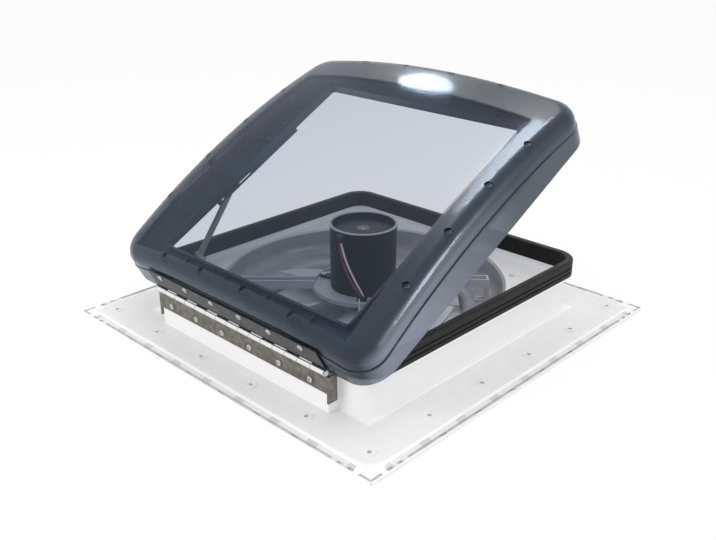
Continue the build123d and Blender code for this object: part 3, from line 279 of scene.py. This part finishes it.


# %% [markdown]
# The flange, collar and decks are one white moulding. The rim and the walls are glossy and nearly
# pure white, and the flat plateau between them is drawn a rougher light grey. Shade is painted along
# the groove of the rim as a soft grey line that stops short of the corners. Darker painted rib
# shadows sit on it at even steps. The groove itself is painted darker for the shade in it, broken by
# specks, and the drain slots are painted darkest for the shade in the holes.
# Each zone is found by its place alone: reach is how far a point lies from the middle, sideways,
# and run is how far along its side it lies.

# %% White moulded plastic
PLATEAU_REACH = (0.196, 0.248)
PLATEAU_HEIGHT = 0.0062
GROOVE_REACH = (0.2566, 0.2602)
GROOVE_HEIGHT = 0.0030
SLOT_HEIGHT = 0.0013
# Painted shade: a soft grey line along the groove of the rim, with darker painted rib shadows at even
# steps.
EDGE_SHADOW_REACH = (0.2515, 0.2604)
EDGE_SHADOW_RUN = 0.234
RIB_SHADOW_PITCH = 0.058
RIB_SHADOW_SHARE = 0.72
UNDERSIDE_HEIGHT = 0.0001
PLAIN_WHITE = (0.93, 0.93, 0.93)
WARM_WHITE = (0.96, 0.96, 0.955)
PLATEAU_GREY = (0.79, 0.795, 0.8)
# The next three greys are painted shade: the line along the rim with its rib shadows, the groove and
# the drain slots.
EDGE_SHADOW_GREY = (0.6, 0.61, 0.62)
GROOVE_SHADE_GREY = (0.56, 0.57, 0.58)
SLOT_SHADE_GREY = (0.3, 0.3, 0.31)


def white_moulding():
    recipe = Recipe("white_moulding")
    across, along = abs(recipe.axis("X")), abs(recipe.axis("Y"))
    reach = across.larger(along)
    run = across + along - reach
    height = recipe.axis("Z")
    flow = recipe.noise(9, stretch=(1, 1, 3))
    grain = recipe.noise(2600, detail=2)
    specks = recipe.noise(90, contrast=2.2)
    upper = height > UNDERSIDE_HEIGHT
    plateau = (reach > PLATEAU_REACH[0]) * (reach < PLATEAU_REACH[1]) * (height < PLATEAU_HEIGHT)
    inside = (reach > GROOVE_REACH[0]) * (reach < GROOVE_REACH[1]) * upper
    groove = inside * (height < GROOVE_HEIGHT)
    slots = inside * (height < SLOT_HEIGHT)
    # Painted shade along the rim, and painted rib shadows at even steps.
    edge_shadow = (reach > EDGE_SHADOW_REACH[0]) * (reach < EDGE_SHADOW_REACH[1]) * (run < EDGE_SHADOW_RUN) * upper
    rib_shadow = (run * (2 * math.pi / RIB_SHADOW_PITCH)).cosine() > RIB_SHADOW_SHARE
    clean = recipe.blend(flow, PLAIN_WHITE, WARM_WHITE)
    # The plateau is drawn a light grey with specks.
    plateau_greyed = recipe.blend(plateau * recipe.between(specks, 0.75, 1.0), clean, PLATEAU_GREY)
    edge_shaded = recipe.blend(edge_shadow * recipe.between(rib_shadow, 0.5, 1.0), plateau_greyed, EDGE_SHADOW_GREY)
    # Painted shade in the groove, and darkest in the drain slots.
    groove_shaded = recipe.blend(groove * recipe.between(specks, 0.5, 0.9), edge_shaded, GROOVE_SHADE_GREY)
    colour = recipe.blend(slots * 0.9, groove_shaded, SLOT_SHADE_GREY)
    roughness = recipe.between(grain, 0.24, 0.38) + plateau * 0.22
    return recipe.finish(
        recipe.surface(colour, roughness, Normal=recipe.bump(grain, 0.00006), Coat_Weight=0.12)
    )


# %% [markdown]
# The seal is extruded rubber: near black, with fine lines along its run, a bloom of dust in
# patches, and a sheen that stays wide because rubber is never smooth.


# %% Black rubber
def seal_rubber():
    recipe = Recipe("seal_rubber")
    lines = recipe.noise(900, detail=2, stretch=(0.04, 0.04, 1))
    bloom = recipe.noise(45, contrast=1.8)
    colour = recipe.blend(bloom, (0.006, 0.006, 0.007), (0.016, 0.016, 0.016))
    roughness = recipe.between(lines, 0.45, 0.62)
    rubber = recipe.surface(
        colour, roughness, Normal=recipe.bump(lines, 0.00006), Specular_IOR_Level=0.22
    )
    return recipe.finish(rubber)


# %% [markdown]
# The hinge is rolled from plated strip. Plating is a mirror blurred by the rolling lines of the
# strip, so the grain is a noise pulled out along the strip, and it drives the roughness.
# The flat leaves are dull, and the leaf on the lid is painted near black for the shade under the
# lid's lip. The knuckles are painted bright as a highlight. Leaf and knuckles are one piece, so the
# recipe measures the distance from the hinge pin: near it the steel gets the painted highlight.

# %% Plated steel, for hinge, pins, stay and screws
HINGE_JOINT = next(joint for joint in frame["joints"] if joint["name"] == "lid_hinge")
HINGE_LINE = Vector(HINGE_JOINT["pos_m"])
OPEN_ANGLE = math.radians(-HINGE_JOINT["range_deg"][0])
KNUCKLE_REACH = 0.0046
print("hinge line:", [round(part, 4) for part in HINGE_LINE])
print("open by:", round(math.degrees(OPEN_ANGLE), 1), "degrees")


def plated_steel(name, colour, spotted, stretch, bright=None):
    recipe = Recipe(name)
    rolled = recipe.noise(1500, detail=3, stretch=stretch)
    cloud = recipe.noise(160, contrast=2.5) * spotted
    shade = recipe.blend(cloud.kept(), colour, tuple(part * 0.45 for part in colour))
    roughness = recipe.between(rolled, 0.2, 0.42) + cloud * 0.15
    if bright:
        # Painted highlight: near the hinge pin the knuckles get a bright colour.
        across = {"Vector": recipe.place(), "Location": tuple(-HINGE_LINE), "Scale": (0, 1, 1)}
        from_pin = recipe.length(recipe.node("ShaderNodeMapping", {}, across))
        knuckle_highlight = from_pin < KNUCKLE_REACH
        shade = recipe.blend(knuckle_highlight, shade, bright)
        roughness = roughness - knuckle_highlight * 0.12
    return recipe.finish(
        recipe.surface(shade, roughness, Metallic=1.0, Normal=recipe.bump(rolled, 0.00004))
    )


# %% [markdown]
# Grey and black mouldings and the painted metal of the motor share one recipe, because they differ
# only in colour, gloss and the size of their grain.


# %% Plain mouldings and paint
def satin(name, colour, worn, rough, grain_scale, depth=0.00006):
    recipe = Recipe(name)
    patches = recipe.noise(34, contrast=1.6)
    grain = recipe.noise(grain_scale, detail=2)
    shade = recipe.blend(patches, colour, worn)
    roughness = recipe.between(grain, rough, rough + 0.16) + patches * 0.06
    return recipe.finish(recipe.surface(shade, roughness, Normal=recipe.bump(grain, depth)))


# %% [markdown]
# The motor's can is near black, and a painted highlight runs round its top edge as a light grey
# rim. The edge is found by height alone: everything above a named level gets the painted highlight.

# %% The motor's paint and its painted highlight rim
HIGHLIGHT_RIM_DEPTH = 0.0012
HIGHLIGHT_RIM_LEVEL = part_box("motor_can")[1].z - HIGHLIGHT_RIM_DEPTH
print("bright above:", round(HIGHLIGHT_RIM_LEVEL, 4))


def motor_paint():
    recipe = Recipe("motor_paint")
    # Painted highlight: the top rim of the can is light grey.
    rim_highlight = recipe.axis("Z") > HIGHLIGHT_RIM_LEVEL
    drawn = recipe.noise(700, detail=2, stretch=(1, 1, 0.03))
    patches = recipe.noise(40, contrast=1.5)
    black = recipe.blend(patches, (0.006, 0.006, 0.008), (0.016, 0.016, 0.02))
    colour = recipe.blend(rim_highlight, black, (0.5, 0.52, 0.54))
    roughness = recipe.between(drawn, 0.3, 0.48)
    paint = recipe.surface(
        colour, roughness, Normal=recipe.bump(drawn, 0.00002), Specular_IOR_Level=0.3
    )
    return recipe.finish(paint)


# %% [markdown]
# The lid is smoked acrylic. Real glass shading would bend every ray through two walls and leave the
# inside dark, so each face is a thin film instead: a tinted Transparent shader lets the view
# through, a little dark body colour stands for the smoke, and a mirror comes in by Fresnel. A film
# has no inside, so its back face needs the inverse index to mirror as little as its front.
#
# The lid isn't even. A dark border runs round its clear pane, its sides are seen almost edge on and
# look denser, and a thin dark line marks the lip. Towards the hinge the smoke on the two long sides
# is drawn less dense, and a pale painted sheen lies on them there, for the light that falls on them
# from the right. How deep a point lies under the crown tells top, side and lip apart: the crown is
# part of a sphere, so the depth is its radius less the distance to its centre, measured with the lid
# turned back to its shut place.

# %% The zones of the smoked lid
CROWN_RADIUS = 1.09
CROWN_TOP = 0.136
SIDE_DEPTH = (0.005, 0.016)
LIP_DEPTH = 0.024
LIP_LINE = 0.0011
MIRROR_TINT = (0.26, 0.33, 0.42)
BORDER_REACH_X = 0.184
BORDER_REACH_Y = 0.172
BORDER_SHIFT = -0.02
BORDER_COLOUR = (0.008, 0.02, 0.038)
BORDER_COVER = 0.6
SIDE_COLOUR = (0.022, 0.042, 0.07)
LIP_COLOUR = (0.022, 0.036, 0.056)
LINE_COLOUR = (0.006, 0.008, 0.012)
# Painted sheen: pale light on the long sides of the lid, strongest towards the hinge.
PAINTED_SHEEN_COLOUR = (0.45, 0.48, 0.6)
PAINTED_SHEEN_REACH = (0.016, 0.03)
PAINTED_SHEEN_SHARE = 0.9
SIDE_COVER = 0.2
NEAR_SIDE_COVER = -0.12
DENSER_TOWARDS = (-0.17, 0.06)
LIP_COVER = -0.04
LINE_COVER = 0.85
print("zones: side from", SIDE_DEPTH, "lip from", LIP_DEPTH, "metres under the crown")


def shut_place(recipe):
    """Where the surface is once the lid is turned back to its shut place."""
    shut = Matrix.Rotation(-OPEN_ANGLE, 3, "X")
    to_shut = HINGE_LINE - shut @ HINGE_LINE
    turned = {"Vector": recipe.place(), "Location": tuple(to_shut), "Rotation": (-OPEN_ANGLE, 0, 0)}
    return recipe.node("ShaderNodeMapping", {}, turned)


def crown_depth(recipe, place):
    """Depth under the crown, in metres."""
    from_centre = {"Vector": place, "Location": (0, 0, CROWN_RADIUS - CROWN_TOP)}
    return CROWN_RADIUS - recipe.length(recipe.node("ShaderNodeMapping", {}, from_centre))


def laid_zones(recipe, colour, cover):
    """The colour and cover of the smoke, with border, side, lip, painted sheen and line laid over
    them.
    """
    place = shut_place(recipe)
    depth = crown_depth(recipe, place)
    edge_x = abs(recipe.axis("X", place)) - BORDER_REACH_X
    edge_y = abs(recipe.axis("Y", place) - BORDER_SHIFT) - BORDER_REACH_Y
    border = edge_x.larger(edge_y) > 0
    side = depth.ramp(*SIDE_DEPTH)
    lip = depth > LIP_DEPTH
    line = abs(depth - LIP_DEPTH) < LIP_LINE
    far = recipe.axis("Y", place).ramp(*DENSER_TOWARDS)
    # Painted sheen on the outer parts of the long sides, fading away from the hinge.
    painted_sheen = side * edge_x.ramp(*PAINTED_SHEEN_REACH) * recipe.between(far, PAINTED_SHEEN_SHARE, 0)
    layers = (
        (border, BORDER_COLOUR),
        (side, SIDE_COLOUR),
        (lip, LIP_COLOUR),
        (painted_sheen, PAINTED_SHEEN_COLOUR),
        (line, LINE_COLOUR),
    )
    for mask, layer in layers:
        colour = recipe.blend(mask, colour, layer)
    dense = recipe.between(far, NEAR_SIDE_COVER, SIDE_COVER)
    cover = cover + border * BORDER_COVER + side * dense + lip * LIP_COVER
    return colour, cover.larger(line * LINE_COVER).kept()


# %% [markdown]
# The same recipe makes the lid and the darker frame inside it. Swirls shade the smoke a little, and
# fine wipe marks blur the mirror, as on plastic that has been cleaned with a dry cloth.


# %% Smoked plastic, for the lid and the frame inside it
def smoked(name, passes, smoke, gloss, zoned=False):
    """smoke is (cover, body colour), gloss is (roughness, index)."""
    recipe = Recipe(name)
    cover, body = smoke
    roughness, index = gloss
    swirl = recipe.noise(11, stretch=(1, 1, 2), contrast=2.4)
    wipe = recipe.noise(380, detail=2, stretch=(0.2, 1, 1))
    colour = recipe.blend(swirl, body, tuple(part * 2.2 for part in body))
    if zoned:
        colour, cover = laid_zones(recipe, colour, cover)
    clear = recipe.node("ShaderNodeBsdfTransparent", {}, {"Color": opaque(passes)})
    veil = recipe.mixed(cover, clear, recipe.surface(colour, 0.35))
    wiped = recipe.between(wipe, roughness, roughness * 2)
    mirror = recipe.surface(MIRROR_TINT, wiped, Metallic=1.0)
    behind = recipe.node("ShaderNodeNewGeometry", {}, {}, "Backfacing")
    facing = recipe.node("ShaderNodeFresnel", {}, {"IOR": recipe.between(behind, index, 1 / index)})
    return recipe.finish(recipe.mixed(facing, veil, mirror))


# %% [markdown]
# Each finish is made once and handed to the nodes that wear it, so the list below reads as the
# parts list of the vent.

# %% Who wears what
STEEL = (0.62, 0.61, 0.59)
# Painted highlight colour for the hinge knuckles.
KNUCKLE_HIGHLIGHT = (0.86, 0.86, 0.86)
ALONG_X = (0.03, 1, 1)
finishes = {
    white_moulding(): ["base_frame"],
    seal_rubber(): ["rubber_seal"],
    plated_steel("hinge_steel", (0.27, 0.25, 0.22), 0.8, ALONG_X, KNUCKLE_HIGHLIGHT): ["fixed_hinge_leaf"],
    # The lid's leaf is painted near black for the shade under the lid's lip.
    plated_steel("dark_leaf", (0.06, 0.06, 0.065), 0.6, ALONG_X, KNUCKLE_HIGHLIGHT): ["lid_hinge_leaf"],
    plated_steel("pin_steel", STEEL, 0.2, ALONG_X): ["hinge_pin"],
    plated_steel("stay_steel", STEEL, 0.25, (1, 0.05, 0.05)): [
        "stay_arm",
        "stay_bracket",
        "stay_pivot_pin",
    ],
    plated_steel("screw_steel", (0.68, 0.68, 0.68), 0.2, (1, 1, 1)): [
        "fixed_leaf_screws",
        "lid_leaf_screws",
        "shroud_screws",
        "spider_screws",
        "motor_screws",
        "stay_bracket_screws",
        "rail_screws",
        "fan_nut",
    ],
    plated_steel("shaft_steel", STEEL, 0.1, (1, 1, 0.03)): ["motor_shaft"],
    plated_steel("bush_iron", (0.2, 0.19, 0.18), 0.1, (1, 1, 1)): ["upper_bearing", "lower_bearing"],
    satin("grey_moulding", (0.3, 0.31, 0.33), (0.46, 0.46, 0.5), 0.3, 1500): ["fan_shroud"],
    satin("carrier_paint", (0.44, 0.44, 0.48), (0.54, 0.54, 0.58), 0.28, 1200): ["motor_spider"],
    satin("black_moulding", (0.018, 0.018, 0.02), (0.035, 0.035, 0.038), 0.34, 1800): [
        "wire_outlet",
        "terminal_block",
        "stay_roller",
    ],
    satin("rail_moulding", (0.05, 0.07, 0.09), (0.09, 0.11, 0.14), 0.3, 1600): ["stay_rail"],
    satin("dark_screw", (0.012, 0.016, 0.024), (0.03, 0.036, 0.05), 0.3, 1500): ["lid_frame_screws"],
    satin("fan_moulding", (0.56, 0.56, 0.6), (0.68, 0.68, 0.72), 0.38, 1500): ["fan_impeller"],
    satin("magnet_iron", (0.05, 0.05, 0.055), (0.09, 0.09, 0.09), 0.5, 900): ["motor_magnets"],
    satin("rotor_iron", (0.2, 0.2, 0.21), (0.3, 0.26, 0.22), 0.45, 900): ["motor_rotor"],
    motor_paint(): ["motor_can", "motor_end_cap"],
    smoked(
        "smoked_lid",
        (0.82, 0.835, 0.87),
        smoke=(0.03, (0.05, 0.06, 0.08)),
        gloss=(0.055, 1.42),
        zoned=True,
    ): ["lid_dome"],
    smoked(
        "dark_frame", (0.3, 0.4, 0.5), smoke=(0.86, (0.016, 0.028, 0.046)), gloss=(0.2, 1.35)
    ): ["lid_inner_frame"],
}
for finish, wearers in finishes.items():
    for wearer in wearers:
        for slot in nodes[wearer].material_slots:
            slot.material = finish
sheaths = {
    "white_wire": satin("white_sheath", (0.72, 0.66, 0.68), (0.8, 0.76, 0.77), 0.34, 2600, 0.00003),
    "red_wire": satin("red_sheath", (0.2, 0.012, 0.03), (0.3, 0.02, 0.05), 0.34, 2600, 0.00003),
}
for name, sheath in sheaths.items():
    wires[name].data.materials.append(sheath)
dressed = sorted(wearer for wearers in finishes.values() for wearer in wearers) + list(wires)
print("dressed:", len(dressed), "left bare:", sorted(set(nodes) - set(dressed)))

# %% [markdown]
# The studio is a white floor that runs off in every direction. Its own shade is pale, and for the
# camera, mirrors and glass it is mostly lit from within, so that it meets the white backdrop with
# no seam and still keeps a trace of the shadow under the flange. Straight under the vent no light
# reaches it, so there it glows not at all, and the view down through the fan is dim.

# %% Floor and backdrop
FLOOR_HALF = 6.0
FLOOR_DROP = 0.0006
FLOOR_GLOW = 0.8
SHADED_REACH = 0.2
GLOW_STRENGTH = 1.04
WHITE = (1, 1, 1)

floor_mesh = bpy.data.meshes.new("floor")
signs = ((-1, -1), (1, -1), (1, 1), (-1, 1))
corners = [(x * FLOOR_HALF, y * FLOOR_HALF, -FLOOR_DROP) for x, y in signs]
floor_mesh.from_pydata(corners, [], [(0, 1, 2, 3)])
floor = bpy.data.objects.new("floor", floor_mesh)
bpy.context.scene.collection.objects.link(floor)


def seen_or_mirrored(recipe):
    """1 for rays from the camera, from mirrors and through clear things."""
    camera_ray, mirrored, through = (
        recipe.node("ShaderNodeLightPath", {}, {}, name)
        for name in ("Is Camera Ray", "Is Glossy Ray", "Is Transmission Ray")
    )
    return camera_ray.larger(mirrored).larger(through)


def floor_finish():
    recipe = Recipe("floor")
    speckle = recipe.noise(30, contrast=0.4)
    lit = recipe.surface(recipe.blend(speckle, (0.8, 0.8, 0.8), (0.84, 0.84, 0.84)), 0.9)
    white_light = {"Color": opaque(WHITE), "Strength": GLOW_STRENGTH}
    glow = recipe.node("ShaderNodeEmission", {}, white_light)
    open_floor = recipe.length(recipe.place()) > SHADED_REACH
    glowing = seen_or_mirrored(recipe) * open_floor * FLOOR_GLOW
    return recipe.finish(recipe.mixed(glowing, lit, glow))


floor_mesh.materials.append(floor_finish())
print("floor:", 2 * FLOOR_HALF, "metres wide")

# %% [markdown]
# The world is white where it is seen, and dimmer as a lamp, so that it fills the shadows without
# washing the white moulding out.

# %% The world
WORLD_FILL = 0.76

bpy.context.scene.world = bpy.data.worlds.new("studio")
sky = Recipe("studio", bpy.context.scene.world)
level = sky.between(seen_or_mirrored(sky), WORLD_FILL, 1.0)
backdrop = sky.node("ShaderNodeBackground", {}, {"Color": opaque(WHITE), "Strength": level})
sky.finish(backdrop, "ShaderNodeOutputWorld")
print("world:", WORLD_FILL, "as a lamp")

# %% [markdown]
# Two soft boxes light the vent, a big one above and one low at the front left. They are kept out of
# mirrors, because a sheet of light that size would cover the clear pane.
#
# Three more only shine: they show in mirrors and light nothing, so a highlight can be bright while
# the white moulding keeps its shading. A small ellipse far behind draws the white patch on the far
# edge of the lid, a long box above draws the pale strip beside the pane, and a low one on the right
# draws the streak along the lid's right edge. Each stands where the lid mirrors it into the camera.


# %% The lamps
def soft_box(name, place, target, size, watts, along=(1, 0, 0), shape="RECTANGLE", shines=False):
    """A flat lamp that faces the target, with its first side along a direction."""
    data = bpy.data.lights.new(name, "AREA")
    data.shape = shape
    data.size, data.size_y = size
    data.energy = watts
    lamp = bpy.data.objects.new(name, data)
    backward = (Vector(place) - Vector(target)).normalized()
    side = Vector(along)
    side = (side - side.dot(backward) * backward).normalized()
    turn = Matrix((side, backward.cross(side), backward)).transposed()
    lamp.matrix_world = Matrix.Translation(place) @ turn.to_4x4()
    lamp.visible_glossy = shines
    lamp.visible_diffuse = not shines
    bpy.context.scene.collection.objects.link(lamp)
    return lamp


MIDDLE = (0, 0, 0.12)
lamps = [
    soft_box("overhead", place=(0.6, -0.2, 1.75), target=MIDDLE, size=(1.6, 1.2), watts=12),
    soft_box("front_left", place=(-0.6, -1.8, 0.9), target=MIDDLE, size=(1.2, 0.8), watts=10),
    soft_box(
        "edge_strip",
        place=(-0.22, 0.46, 1.98),
        target=(0.2, -0.01, 0.23),
        size=(0.42, 0.9),
        watts=24,
        shines=True,
    ),
    soft_box(
        "far_patch",
        place=(-1.315, 1.086, 1.729),
        target=(0.023, 0.089, 0.292),
        size=(0.44, 0.17),
        watts=5,
        along=(0.72, -0.03, 0.69),
        shape="ELLIPSE",
        shines=True,
    ),
    soft_box(
        "right_streak",
        place=(2.03, 0.37, 0.75),
        target=(0.213, -0.17, 0.125),
        size=(0.35, 0.7),
        watts=20,
        along=(0, 1, 0),
        shines=True,
    ),
]
print("lamps:", [lamp.name for lamp in lamps])

# %% [markdown]
# The colours are shown as they are written, with no film curve over them.

# %% Colour and the end
bpy.context.scene.view_settings.view_transform = "Standard"
